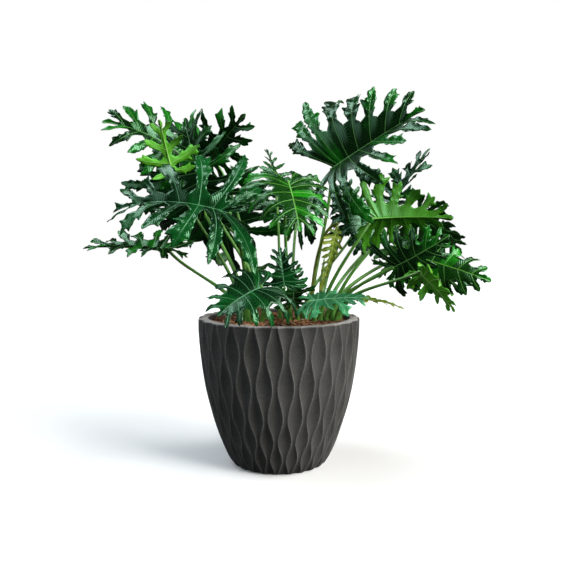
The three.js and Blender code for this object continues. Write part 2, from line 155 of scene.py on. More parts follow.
# The side lobes of a leaf from its base to its tip, as in the frame: where each vein starts, how far
# its angle has turned, its length and its half-width.
LOBE_START = [0.03, 0.05, 0.08, 0.14, 0.23, 0.34, 0.47, 0.6, 0.73]
LOBE_TURN = [0, 0.17, 0.33, 0.47, 0.61, 0.72, 0.82, 0.91, 1]
LOBE_LENGTH = [0.46, 0.6, 0.66, 0.62, 0.54, 0.46, 0.39, 0.34, 0.28]
LOBE_HALF_WIDTH = [0.05, 0.057, 0.061, 0.063, 0.062, 0.059, 0.054, 0.049, 0.044]

# Every leaf, as in the frame: its crown, the angle and the distance of the stalk's foot from the
# crown's axis, the blade's base and tip, the way its upper face looks, its bend, fold and curl in
# degrees, its lobes to a side, its width, the angle of its first lobe, the share of a lobe that is
# joined to the next one, and the number that makes it its own.
LEAVES = [
    ("upper_left", "left", 135, 30, (-271, 172, 795), (-465, 96, 871), (-0.05, -0.8, 0.6),
     44, 23, 37, 7, 1.1, 129, 0.24, 14),
    ("lime_left", "left", 168, 30, (-262, -20, 726), (-286, -60, 850), (-0.3, 0.9, 0.3),
     30, 6, 15, 4, 0.95, 100, 0.14, 2),
    ("upper_centre_left", "left", 100, 30, (-182, 127, 783), (-84, 17, 876), (0.2, -0.95, 0.15),
     22, 22, 31, 6, 1.2, 135, 0.26, 71),
    ("broad_left", "left", 238, 30, (-117, -153, 624), (-390, -106, 629), (0.1, -0.75, 0.65),
     55, 29, 42, 7, 1.05, 146, 0.14, 4),
    ("level_left", "left", 200, 30, (-288, 37, 534), (-499, 20, 541), (-0.35, -0.3, 0.9),
     12, 30, 40, 8, 0.9, 141, 0.24, 17),
    ("mid_left", "left", 30, 30, (-190, 62, 677), (-243, 68, 876), (-0.3, -0.85, 0.4),
     35, 15, 27, 8, 1.25, 149, 0.22, 63),
    ("front_centre", "centre", 260, 30, (23, -169, 690), (46, -254, 581), (0.25, -0.85, 0.4),
     16, 4, 21, 7, 1.5, 149, 0.34, 81),
    ("small_centre", "centre", 190, 30, (-11, 53, 714), (-33, 82, 798), (0.55, -0.8, 0.1),
     23, 32, 27, 6, 0.85, 134, 0.14, 54),
    ("upper_right", "right", 160, 30, (139, 49, 746), (361, -4, 884), (-0.65, -0.7, 0.3),
     8, 39, 35, 8, 1.35, 121, 0.38, 50),
    ("light_right", "right", 262, 30, (235, -31, 615), (430, -27, 615), (-0.05, 0.95, 0.25),
     36, 26, 16, 7, 0.85, 130, 0.34, 57),
    ("dark_right_back", "centre", 20, 30, (212, 146, 613), (175, 172, 725), (-0.05, -0.95, 0.25),
     19, 7, 30, 6, 1.2, 129, 0.3, 47),
    ("drooping_right", "right", 92, 30, (211, 87, 633), (217, 42, 522), (0.3, -0.85, 0.4),
     19, 7, 34, 6, 1.25, 128, 0.6, 80),
    ("back_right_top", "right", 62, 30, (312, 185, 652), (417, 187, 813), (-0.35, -0.4, 0.85),
     8, 20, 5, 6, 0.85, 108, 0.2, 53),
    ("right_upper", "right", 288, 30, (275, -101, 499), (395, -135, 574), (-0.35, -0.9, -0.3),
     32, 7, 33, 7, 1.05, 141, 0.3, 22),
    ("right_outer", "right", 332, 30, (340, -5, 520), (523, -43, 460), (-0.45, -0.8, 0.4),
     24, 0, 62, 7, 0.95, 139, 0.36, 55),
    ("right_lime", "right", 320, 46, (319, -188, 488), (392, -201, 403), (0.65, 0.5, 0.55),
     14, 15, 50, 5, 0.95, 125, 0.36, 60),
    ("right_back_drooping", "right", 2, 30, (362, 83, 628), (476, 56, 525), (-0.25, 0.6, 0.75),
     35, 13, 51, 7, 1.1, 115, 0.24, 5),
    ("narrow_right", "right", 345, 46, (184, 0, 412), (313, -29, 390), (0.15, -0.25, 0.95),
     28, 6, 21, 5, 0.35, 84, 0.36, 7),
    ("front_left_low", "left", 270, 44, (-42, -201, 457), (-130, -262, 401), (0.2, -0.6, 0.75),
     36, 14, 31, 7, 1.6, 156, 0.48, 88),
    ("front_small", "left", 310, 30, (13, -115, 455), (2, -102, 546), (0.05, -0.85, 0.5),
     26, 8, 17, 7, 1.05, 130, 0.42, 77),
    ("front_right_low", "right", 245, 46, (75, -170, 425), (204, -193, 434), (-0.25, -0.25, 0.95),
     10, 0, 12, 7, 1, 127, 0.5, 53),
    ("dark_centre", "centre", 300, 30, (36, -49, 410), (33, -60, 509), (0.15, -1, 0.05),
     30, 15, 26, 7, 0.95, 135, 0.34, 36),
    ("twisted_yellow", "right", 205, 30, (144, -30, 596), (104, -28, 437), (0.7, -0.75, 0.05),
     8, 0, 15, 8, 0.35, 87, 0.28, 66),
    ("back_left", "left", 65, 30, (-141, 195, 593), (-397, 222, 773), (-0.75, -0.55, 0.4),
     8, 12, 80, 7, 1.55, 152, 0.26, 23),
    ("back_centre", "centre", 85, 30, (53, 185, 635), (64, 329, 751), (0.35, 0.2, 0.9),
     66, 12, 47, 8, 1.15, 152, 0.26, 32),
    ("back_right", "right", 32, 30, (384, 197, 547), (543, 291, 399), (0.05, 0.9, 0.45),
     11, 11, 38, 7, 0.95, 152, 0.26, 54),
]

# Colours of the stalks, streaked from one to the other
STALK_LOOKS = {
    "stalk_green": ((0.05, 0.19, 0.02), (0.15, 0.38, 0.06)),
    "stalk_yellow": ((0.15, 0.2, 0.03), (0.32, 0.38, 0.07)),
}

# Colours of the blades' deep parts (partly painted shade), their bright parts (also a painted highlight
# along the margins), their lower face and their veins, and the roughness of their upper face
LEAF_LOOKS = {
    "leaf_green": ((0, 0.009, 0.001), (0.003, 0.135, 0.004), (0.04, 0.2, 0.015), (0.13, 0.36, 0.08), 0.2),
    "leaf_dark": ((0, 0.008, 0.001), (0.002, 0.07, 0.003), (0.025, 0.1, 0.01), (0.08, 0.22, 0.06), 0.22),
    "leaf_blue_green": ((0, 0.01, 0.001), (0.001, 0.07, 0.008), (0.04, 0.2, 0.06), (0.09, 0.28, 0.13), 0.2),
    "leaf_pale": ((0.006, 0.1, 0.03), (0.05, 0.34, 0.12), (0.08, 0.3, 0.12), (0.26, 0.52, 0.3), 0.34),
    "leaf_light": ((0.001, 0.03, 0.001), (0.012, 0.28, 0.006), (0.05, 0.25, 0.005),
                   (0.16, 0.45, 0.06), 0.23),
    "leaf_lime": ((0.03, 0.15, 0.003), (0.1, 0.36, 0.01), (0.1, 0.46, 0.012), (0.34, 0.66, 0.16), 0.34),
    "leaf_yellow": ((0.1, 0.17, 0.008), (0.3, 0.38, 0.02), (0.26, 0.34, 0.03), (0.42, 0.48, 0.12), 0.42),
}

# Studio
WARM = (1, 0.985, 0.95)
SUNS = {  # where each light shines from, its strength, its spread in degrees and its colour
    "key": ((2.0, -1.4, 1.9), 3.5, 26, WARM),
    "side": ((2.4, 0.1, 2.0), 2.5, 38, WARM),
    "window": ((-1.5, -1.1, 1.4), 0.8, 40, (0.88, 0.95, 1)),
    "sky": ((-0.9, 0.2, 2.4), 2.2, 36, (0.86, 0.94, 1)),
}
SUN_TARGET = (0, 0, 0.5)
WORLD_COLOUR = (0.94, 0.97, 1, 1)
WORLD_STRENGTH = 0.03
ROOM = 9  # reach of the floor and height of the wall, in metres
ROOM_SIDES = 64
CAMERA_PLACE = (0.0065, -1.662, 0.576)
CAMERA_TILT = 85.89  # from looking straight down, in degrees
CAMERA_LENS = 42.2
CAMERA_SENSOR = 36

SLOTS = {part["node"]: part["material_slot"] for part in frame["record"]["subparts"]}


# Small helpers

def chance(seed, step):
    """A repeatable number from 0 to 1, the same as in the frame."""
    wave = math.sin(seed * 12.9898 + step * 78.233) * 43758.5453
    return wave - math.floor(wave)


def swing(seed, step):
    """A repeatable number from -1 to 1."""
    return 2 * chance(seed, step) - 1


def sample(values, share):
    """The value of an evenly spaced list at a share of its span."""
    return float(np.interp(share * (len(values) - 1), range(len(values)), values))


def smooth(x):
    """A soft step from 0 to 1."""
    x = np.clip(x, 0, 1)
    return x * x * (3 - 2 * x)


def unit(v):
    """A direction, or rows of them, brought to length 1."""
    return v / np.linalg.norm(v, axis=-1, keepdims=True)


def right_of(way):
    """The direction at a right angle to one on the flat leaf, or to rows of them."""
    return columns(way[..., 1], -way[..., 0])


def bow(start, knee, end, share):
    """Points at shares of a curve from start to end that bends towards its knee."""
    return (1 - share) ** 2 * start + 2 * share * (1 - share) * knee + share ** 2 * end


def columns(*parts):
    """Rows of numbers from their columns."""
    return np.stack(np.broadcast_arrays(*parts), axis=-1)


def circle(sides):
    """Evenly spaced angles all around."""
    return np.linspace(0, TURN, sides, endpoint=False)


def heading(angle):
    """A level direction of length 1."""
    return np.array([math.cos(angle), math.sin(angle)])


def linked(name, data):
    """A new object in the scene."""
    item = bpy.data.objects.new(name, data)
    bpy.context.scene.collection.objects.link(item)
    return item


def store(mesh, name, values):
    """Writes a value for each point of a mesh, for its finish to read."""
    mesh.attributes.new(name, "FLOAT", "POINT").data.foreach_set("value", values.astype(np.float32))


# Meshes

class Shape:
    """Points in millimetres, triangles, and named values at the points, gathered from several parts."""

    def __init__(self, *solid, **values):
        self.points = []
        self.faces = []
        self.values = {}
        self.count = 0
        if solid:
            self.add(*solid, **values)

    def add(self, points, faces, **values):
        self.points.append(points)
        self.faces.append(np.asarray(faces) + self.count)
        for name, value in values.items():
            whole = np.broadcast_to(np.asarray(value, float), (len(points),))
            self.values.setdefault(name, []).append(whole)
        self.count += len(points)


def grid_faces(rows, across, closed):
    """Triangles of a grid of points, facing up where the rows run away and the columns to the right."""
    row = np.arange(rows - 1)[:, None] * across
    column = np.arange(across if closed else across - 1)
    a = (row + column).ravel()
    b = (row + (column + 1) % across).ravel()
    return np.concatenate([columns(a, b, b + across), columns(a, b + across, a + across)])


def ring_solid(rings):
    """A closed solid through rings of points, each anticlockwise seen from the last one."""
    rows, sides = rings.shape[:2]
    points = np.concatenate([rings.reshape(-1, 3), rings[[0, -1]].mean(axis=1)])
    side = np.arange(sides)
    after = (side + 1) % sides
    last = (rows - 1) * sides
    low = columns(after, side, rows * sides)
    high = columns(last + side, last + after, rows * sides + 1)
    return points, np.concatenate([grid_faces(rows, sides, True), low, high])


def level_rings(heights, radii, angles):
    """Level rings of points at heights, from an array of radii with a row for each height."""
    return columns(radii * np.cos(angles), radii * np.sin(angles), np.array(heights, float)[:, None])


def plate(front, back, faces):
    """A closed plate from a surface, its copy on the other side, and the faces of the first."""
    count = len(front)
    edges = np.concatenate([faces[:, [0, 1]], faces[:, [1, 2]], faces[:, [2, 0]]])
    there = edges[:, 0] * count + edges[:, 1]
    again = edges[:, 1] * count + edges[:, 0]
    start, end = edges[~np.isin(there, again)].T
    rim = [columns(start, start + count, end + count), columns(start, end + count, end)]
    return np.concatenate([front, back]), np.concatenate([faces, faces[:, ::-1] + count, *rim])


def make_piece(name, shape, material, nodes, flat=False):
    """An object that stands for nodes of the frame, from a gathered shape."""
    points = np.concatenate(shape.points) * MM
    faces = np.concatenate(shape.faces)
    mesh = bpy.data.meshes.new(name)
    mesh.vertices.add(len(points))
    mesh.vertices.foreach_set("co", points.astype(np.float32).ravel())
    mesh.loops.add(faces.size)
    mesh.loops.foreach_set("vertex_index", faces.astype(np.int32).ravel())
    mesh.polygons.add(len(faces))
    mesh.polygons.foreach_set("loop_start", np.arange(0, faces.size, 3, dtype=np.int32))
    mesh.polygons.foreach_set("use_smooth", np.full(len(faces), not flat))
    for key, parts in shape.values.items():
        store(mesh, key, np.concatenate(parts))
    mesh.update(calc_edges=True)
    mesh.validate()
    mesh.materials.append(material)
    piece = linked(name, mesh)
    if nodes:
        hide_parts(*nodes)
    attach(piece, "root")
    return piece


def wrapped(line, reach, angles):
    """A closed solid through rings around a line, from the reach of each ring at each angle. The two
    arms that carry the rings turn as little as they can."""
    ways = unit(np.gradient(line, axis=0))
    spare = np.array([0, 0, 1.0]) if abs(ways[0, 2]) < 0.9 else np.array([1.0, 0, 0])
    arm = unit(np.cross(ways[0], spare))
    arms = []
    for way in ways:
        arm = unit(arm - way * arm.dot(way))
        arms.append(arm)
    side_arms = np.cross(ways, arms)
    rings = (line[:, None] + (reach * np.cos(angles))[..., None] * np.array(arms)[:, None]
             + (reach * np.sin(angles))[..., None] * side_arms[:, None])
    return ring_solid(rings)


def tube(path, radii, sides, section=None):
    """A solid around a path, with round ends. The section scales the radius around a ring."""
    out = END_LENGTH * np.sqrt(1 - END_RADII ** 2)[:, None]
    head = path[0] - unit(path[1] - path[0]) * radii[0] * out
    tail = path[-1] + unit(path[-1] - path[-2]) * radii[-1] * out[::-1]
    line = np.concatenate([head, path, tail])
    width = np.concatenate([radii[0] * END_RADII, radii, radii[-1] * END_RADII[::-1]])
    angles = circle(sides)
    scale = np.ones(sides) if section is None else section(angles)
    return wrapped(line, width[:, None] * scale, angles)


# Planter

def crest_wave(height):
    """The swing of the crests at a height, from -1 to 1."""
    turns = np.interp(height, PINCH_HEIGHTS, range(len(PINCH_HEIGHTS)))
    return np.cos(math.pi * turns)


def crest_angles(height):
    """The angles of the crests, and of the first one again, at a height or a column of heights."""
    crest = np.arange(CRESTS + 1)
    way = np.where(crest % 2 == 0, 1, -1)
    return RELIEF_TURN + crest * TURN / CRESTS + way * CREST_SWING * crest_wave(height)


def relief_ring(height, rounding):
    """Angles and radii of one level ring of the outside, drawn in where the foot or the rim is rounded."""
    radius = POT_CURVE(height) - rounding
    angles = crest_angles(height)
    flute = np.repeat(np.arange(CRESTS), len(FLUTE_STEPS))
    share = np.tile(FLUTE_STEPS, CRESTS)
    gap = angles[flute + 1] - angles[flute]
    depth = FLUTE_DEPTH * radius * gap * (1 - (2 * share - 1) ** 2)
    return angles[flute] + share * gap, radius - depth


def planter_solid():
    """The relief, the rim, the hollow and the floor as one turned solid, with drain holes cut later."""
    turns = np.linspace(0, 1, RIM_ROWS + 1)[1:] * math.pi / 2
    heights = np.linspace(0, POT_HEIGHT - RIM_ROUNDING, RELIEF_ROWS)
    roundings = [*(FOOT_ROUNDING * np.clip(1 - heights / FOOT_ROUNDED, 0, 1) ** 2)]
    roundings += [*(RIM_ROUNDING * (1 - np.cos(turns)))]
    heights = [*heights, *(POT_HEIGHT - RIM_ROUNDING + RIM_ROUNDING * np.sin(turns))]
    rings = [relief_ring(height, rounding) for height, rounding in zip(heights, roundings)]
    even = np.mean([angles for angles, radii in rings], axis=0)
    lip = POT_CURVE(POT_HEIGHT) - POT_WALL
    inside = [(POT_HEIGHT + LIP_RISE, lip + LIP_WIDTH)]
    for turn in turns:
        inside.append((POT_HEIGHT - LIP_ROUNDING * (1 - math.cos(turn)),
                       lip + LIP_ROUNDING * (1 - math.sin(turn))))
    inside += [(height, POT_CURVE(height) - POT_WALL) for height in HOLLOW_HEIGHTS]
    for height, radius in inside:
        heights.append(height)
        rings.append((even, np.full(len(even), radius)))
    angles, radii = np.array(rings).transpose(1, 0, 2)
    return ring_solid(level_rings(heights, radii, angles))


def drilled(piece):
    """Cuts the drain holes through the floor of the planter."""
    bore = Shape()
    rings = level_rings([-DRAIN_OVERRUN, POT_FLOOR + DRAIN_OVERRUN], DRAIN_RADIUS, circle(DRAIN_SIDES))
    for hole in range(DRAIN_HOLES):
        bore.add(*ring_solid(rings + [*(DRAIN_CIRCLE * heading(TURN * hole / DRAIN_HOLES)), 0]))
    mesh = bpy.data.meshes.new("bore")
    mesh.from_pydata(np.concatenate(bore.points) * MM, [], np.concatenate(bore.faces).tolist())
    cutter = linked("bore", mesh)
    cut = piece.modifiers.new("holes", "BOOLEAN")
    cut.operation = "DIFFERENCE"
    cut.object = cutter
    bpy.context.view_layer.update()
    result = bpy.data.meshes.new_from_object(piece.evaluated_get(bpy.context.evaluated_depsgraph_get()))
    piece.modifiers.remove(cut)
    piece.data = result
    bpy.data.objects.remove(cutter)


def mark_planter(piece):
    """Values for the planter's finish: how near a crest each point is, and whether it is on the rim."""
    mesh = piece.data
    points = np.zeros(len(mesh.vertices) * 3, np.float32)
    mesh.vertices.foreach_get("co", points)
    x, y, z = points.reshape(-1, 3).T / MM
    turn = (np.arctan2(y, x) - RELIEF_TURN) % TURN
    gaps = np.abs(turn[:, None] - (crest_angles(z[:, None]) - RELIEF_TURN))
    near = gaps.min(axis=1) * CRESTS / TURN
    outside = np.hypot(x, y) > POT_CURVE(z) - 0.45 * POT_WALL
    # Nearness to a crest, for the pale crest line: partly wear, partly painted highlight
    store(mesh, "crest", np.where(outside, np.exp(-(near / CREST_WEAR_AND_HIGHLIGHT) ** 2), 0))
    # The rim's top, which the finish paints light grey as painted top light
    store(mesh, "rim", smooth((z - POT_HEIGHT + 3.5) / 3))


# Mulch

def mulch_bed_solid():
    """A closed bed with a crumbly top, that the bark chips lie on."""
    outer = POT_CURVE(MULCH_TOP) - POT_WALL - MULCH_CLEARANCE
    around = circle(MULCH_SIDES)
    reaches = np.linspace(outer, 2, MULCH_RINGS)[:, None]
    heights = np.full((MULCH_RINGS, MULCH_SIDES), float(MULCH_TOP))
    for wave in range(MULCH_WAVES):
        length = RANDOM.uniform(*MULCH_WAVE_LENGTHS)
        angle = RANDOM.uniform(0, TURN)
        phase = RANDOM.uniform(0, TURN)
        across = reaches * np.cos(around - angle)
        heights += 0.02 * length * np.sin(TURN * across / length + phase)
    heights += RANDOM.uniform(-MULCH_ROUGHNESS, MULCH_ROUGHNESS, heights.shape)
    heights -= MULCH_EDGE_DROP * smooth((reaches - outer + MULCH_EDGE) / MULCH_EDGE)
    top = level_rings(reaches[:, 0], reaches, around)
    top[..., 2] = heights
    floor = level_rings([MULCH_BOTTOM, MULCH_TOP - 6], outer - 1, around)
    return ring_solid(np.concatenate([floor, top]))


def chip_solid(middle, size, turn, tilt, lean):
    """One irregular flake of bark: its points in place, its faces, and its points before it is turned."""
    long, wide, thick = size
    corner = circle(CHIP_CORNERS)
    jitter = RANDOM.uniform(0.7, 1.15, (len(CHIP_RINGS), CHIP_CORNERS))
    x = 0.5 * long * np.sign(np.cos(corner)) * np.abs(np.cos(corner)) ** 0.6
    y = 0.5 * wide * np.sign(np.sin(corner)) * np.abs(np.sin(corner)) ** 0.8
    rings = []
    for (spread, height), broken in zip(CHIP_RINGS, jitter):
        uneven = height * thick + RANDOM.uniform(-0.12, 0.12, CHIP_CORNERS) * thick
        rings.append(columns(x * spread * broken, y * spread * broken, uneven))
    points, faces = ring_solid(np.array(rings))
    flat = points.copy()
    points[:, 2] += 0.25 * thick * np.cos(math.pi * points[:, 0] / long)
    for first, second, angle in ((0, 2, tilt), (1, 2, lean), (0, 1, turn)):
        cos, sin = math.cos(angle), math.sin(angle)
        points[:, [first, second]] = points[:, [first, second]] @ np.array([[cos, sin], [-sin, cos]])
    return points + middle, faces, flat


def chips_shape():
    """Bark chips scattered over the bed, clear of the crowns."""
    shape = Shape()
    limit = POT_CURVE(MULCH_TOP) - POT_WALL
    for chip in range(CHIPS):
        long = RANDOM.triangular(*CHIP_LENGTHS)
        wide = long * RANDOM.uniform(0.35, 0.75)
        thick = RANDOM.uniform(*CHIP_THICKNESSES)
        reach = (limit - 0.5 * long - 1) * math.sqrt(RANDOM.uniform(0, 1))
        angle = RANDOM.uniform(0, TURN)
        x, y = reach * math.cos(angle), reach * math.sin(angle)
        tilt, lean = RANDOM.normal(0, CHIP_TILT, 2)
        middle = np.array([x, y, MULCH_TOP + RANDOM.uniform(0, 4)])
        points, faces, flat = chip_solid(middle, (long, wide, thick), RANDOM.uniform(0, 6.3), tilt, lean)
        tone = RANDOM.uniform(0, 1)
        if all(math.hypot(x - at[0], y - at[1]) >= CROWN_CLEARANCE for at in CROWNS.values()):
            shape.add(points, faces, tone=tone, grain_x=flat[:, 0] + 60 * tone,
                      grain_y=flat[:, 1] + 90 * tone, grain_z=flat[:, 2])
    return shape


# Crowns and new leaves

def crown_shape(centre):
    """A short scarred stem, with a few dry sheaths around it."""
    heights = np.append(np.linspace(CROWN_FOOT, CROWN_TOP - 1, CROWN_ROWS), CROWN_TOP)
    angles = circle(CROWN_SIDES)
    radius = np.interp(heights, *CROWN_PROFILE.T)[:, None]
    step = heights[:, None] / SCAR_STEP + angles / TURN
    scar = np.abs(2 * (step - np.floor(step)) - 1) ** 6
    ribs = 0.35 * np.sin(17 * angles + 3 * np.sin(heights[:, None] / 7))
    radii = radius - SCAR_DEPTH * scar + ribs + RANDOM.uniform(-0.3, 0.3, step.shape)
    rings = level_rings(heights, radii, angles)
    rings[..., :2] += centre
    shape = Shape(*ring_solid(rings), sheath=0)
    for number in range(SHEATHS):
        shape.add(*sheath_solid(centre, number), sheath=1)
    return shape


def sheath_solid(centre, number):
    """A dry pointed sheath that hugs the crown."""
    rise = np.linspace(0, 1, SHEATH_ROWS)[:, None]
    across = np.linspace(-1, 1, SHEATH_COLUMNS)
    height = SHEATH_FOOT + rise * (SHEATH_LENGTH + 14 * math.sin(3 * number))
    half_turn = 0.75 * (1 - rise ** 2.2) + 0.02
    angle = number * 2.4 + centre[0] + half_turn * across
    radius = np.interp(height, *CROWN_PROFILE.T) + 0.6 + (0.6 * number) % 2
    radius = radius + 0.4 * np.sin(5 * angle + 8 * rise)
    outer = level_rings(height[:, 0], radius, angle)
    inner = level_rings(height[:, 0], radius - SHEATH_THICKNESS, angle)
    faces = grid_faces(SHEATH_ROWS, SHEATH_COLUMNS, False)
    return plate(*(side.reshape(-1, 3) + [*centre, 0] for side in (outer, inner)), faces)


def spear_shape(centre, tip, radius):
    """A young leaf still rolled into a spear, with the seam of its roll winding up it."""
    foot = np.array([*centre, CROWN_TOP - SPEAR_DEPTH])
    knee = np.array([*centre, (foot[2] + tip[2]) / 2])
    share = np.linspace(0, 1, SPEAR_ROWS)[:, None]
    path = bow(foot, knee, np.array(tip), share)
    angles = circle(SPEAR_SIDES)
    width = radius * (0.75 + 0.5 * np.sin(math.pi * share ** 0.7)) * (1 - share ** 5) + 0.25
    roll = ((angles - 5 * share) % TURN) / TURN
    ridge = 0.03 * np.sin(9 * angles - 12 * share)
    seam = np.append((1 - roll).ravel(), [0.5, 0.5])
    rise = np.append(np.broadcast_to(share, roll.shape).ravel(), [0, 1])
    return Shape(*wrapped(path, width * (0.8 + 0.28 * roll + ridge), angles), seam=seam, rise=rise)


# Leaves

class Leaf:
    """A leaf with its own axes: along the midrib, across it, and out of its upper face."""

    def __init__(self, row):
        (self.name, self.crown, self.foot_angle, self.foot_reach, base, tip, face, bend, fold, curl,
         self.lobes, self.width, self.spread, self.joined, self.seed) = row
        self.base = np.array(base, float)
        chord = np.array(tip, float) - self.base
        self.along = unit(chord)
        out = np.array(face, float)
        self.out = unit(out - self.along * out.dot(self.along))
        self.across = np.cross(self.out, self.along)
        self.bend, self.fold, self.curl = np.radians([bend, fold, curl])
        self.length = np.linalg.norm(chord) * self.bend / 2 / math.sin(self.bend / 2)
        self.stout = 3.2 + 0.008 * self.length

    def shaped(self, x, y, lift):
        """Places on the flat leaf, with their lift off its face, brought to the bent leaf."""
        curl_rate = self.curl / (0.5 * self.length)
        tilt = self.fold - curl_rate * np.abs(y)
        sideways = (math.sin(self.fold) - np.sin(tilt)) / curl_rate - lift * np.sin(tilt)
        raised = (np.cos(tilt) - math.cos(self.fold)) / curl_rate + lift * np.cos(tilt)
        bend_rate = self.bend / self.length
        turn = bend_rate * x
        forward = np.sin(turn) / bend_rate + raised * np.sin(turn)
        upward = (np.cos(turn) - 1) / bend_rate + raised * np.cos(turn)
        level = self.bend / 2
        ahead = forward * math.cos(level) - upward * math.sin(level)
        up = forward * math.sin(level) + upward * math.cos(level)
        places = columns(ahead, np.where(y < 0, -1, 1) * sideways, up)
        return self.base + places @ np.array([self.along, self.across, self.out])

    def lobe_start(self, index):
        """Where a lobe's vein leaves the midrib."""
        share = index / (self.lobes - 1)
        evenness = min(max((110 - self.spread) / 30, 0), 1)
        even = 0.1 + 0.63 * share
        return self.length * (evenness * even + (1 - evenness) * sample(LOBE_START, share))

    def midrib_marks(self):
        """The marks on the midrib between which the lobes of one side start."""
        starts = [self.lobe_start(index) for index in range(self.lobes)]
        marks = [0] + [(here + after) / 2 for here, after in zip(starts, starts[1:])]
        return marks + [1.25 * starts[-1] - 0.25 * starts[-2]]

    def rib_radius(self, x):
        """The radius of the midrib at a distance from the base."""
        share = np.clip(x / self.length, 0, 1)
        return (0.5 * self.stout + 0.5) * (1 - share) ** 1.3 * 0.8 + 0.4


class Lobe:
    """One side lobe, on the flat leaf, on the side where y is above 0."""

    def __init__(self, leaf, side, index):
        share = index / (leaf.lobes - 1)
        self.key = 20 * index + (0 if side > 0 else 10)
        turned = sample(LOBE_TURN, share)
        angle = math.radians(leaf.spread + (LAST_LOBE_ANGLE - leaf.spread) * turned
                             + 4 * swing(leaf.seed, self.key))
        varied = 1 + 0.12 * swing(leaf.seed, self.key + 1)
        self.long = leaf.length * leaf.width * sample(LOBE_LENGTH, share) * varied
        room = min(1, 0.3 + 0.9 * leaf.width) / (leaf.lobes + 2.5)
        widest = (7 + 9.5 * leaf.joined) * room * leaf.length * sample(LOBE_HALF_WIDTH, share)
        self.half = min(widest, 0.55 * self.long * math.sin(angle))
        self.droop = 0.14 + 0.2 * swing(leaf.seed, self.key + 2)
        self.twist = 0.8 * swing(leaf.seed, self.key + 3)
        self.start = np.array([leaf.lobe_start(index), 0.0])
        self.knee = self.start + 0.5 * self.long * heading(angle + 0.14)
        self.end = self.start + self.long * heading(angle - 0.05)

    def vein(self, share):
        """Points of the vein at shares of its length."""
        return bow(self.start, self.knee, self.end, np.asarray(share, float)[..., None])

    def way(self, share):
        """The vein's direction at shares of its length."""
        t = np.asarray(share, float)[..., None]
        return unit((1 - t) * (self.knee - self.start) + t * (self.end - self.knee))


class EndLobe(Lobe):
    """Half of the lobe at the leaf's tip, whose vein is the end of the midrib."""

    def __init__(self, leaf, side):
        begin = leaf.midrib_marks()[-1]
        self.key = 200 + (0 if side > 0 else 10)
        self.long = leaf.length - begin
        self.half = (0.6 + 0.8 * leaf.joined) * sample(LOBE_HALF_WIDTH, 0.6) * leaf.length
        self.droop = END_LOBE_DROOP
        self.twist = 0
        self.start = np.array([begin, 0.0])
        self.end = np.array([leaf.length, 0.0])
        self.knee = (self.start + self.end) / 2


def margin(leaf, lobe, far, past):
    """The half-width of one edge of a lobe, past the notch beside it: a waist, a broad part, a blunt
    tip, and teeth that lean towards the tip, cut to uneven depths."""
    seed = leaf.seed + 0.37 * lobe.key + (0.19 if far else 0)
    waist = 0.7 + 0.3 * smooth(past / 0.5)
    tip = (1 - np.clip((past - 0.55) / 0.45, 0, 1) ** 2) ** 0.72
    count = max(2, round((1 - leaf.joined) * lobe.long / TOOTH_STEP))
    place = count * past + chance(seed, 1) + 0.3 * np.sin(5 * past + 6 * chance(seed, 2))
    whole = np.floor(place).astype(int)
    depths = np.array([0.08 + 0.3 * chance(seed, 3 + number) for number in range(count + 4)])
    if chance(seed, 40) < FORKED_SHARE:
        depths[count] = FORK_DEPTH
    part = place - whole
    depth = depths[whole] * (1 - part) + depths[whole + 1] * part
    tooth = np.minimum(part / TOOTH_PEAK, (1 - part) / (1 - TOOTH_PEAK))
    fine = 0.03 * np.sin(TURN * (2.6 * place + 0.3 * np.sin(4 * place)))
    cut = depth * (1 - tooth) * smooth(past / 0.12) + fine * smooth(past / 0.1)
    return lobe.half * waist * tip * (1 - cut)


def side_fingers(leaf, lobe, far, past):
    """How far small pointed fingers stand out from an edge of a lobe, as a share of its half-width. Each
    one widens slowly towards the tip and ends abruptly."""
    seed = leaf.seed + 0.53 * lobe.key + (0.29 if far else 0)
    out = np.zeros_like(past)
    if lobe.long < SHORTEST_FINGERED:
        return out
    for number in range(2):
        if chance(seed, number) > FINGERED_SHARE:
            continue
        peak = 0.36 + 0.3 * number + 0.1 * chance(seed, 2 + number)
        height = 0.45 + 0.6 * chance(seed, 4 + number)
        rise = np.clip((past - peak + 0.26) / 0.26, 0, 1) ** 1.4
        fall = np.clip((peak + 0.08 - past) / 0.08, 0, 1)
        out = np.maximum(out, height * np.minimum(rise, fall))
    return out


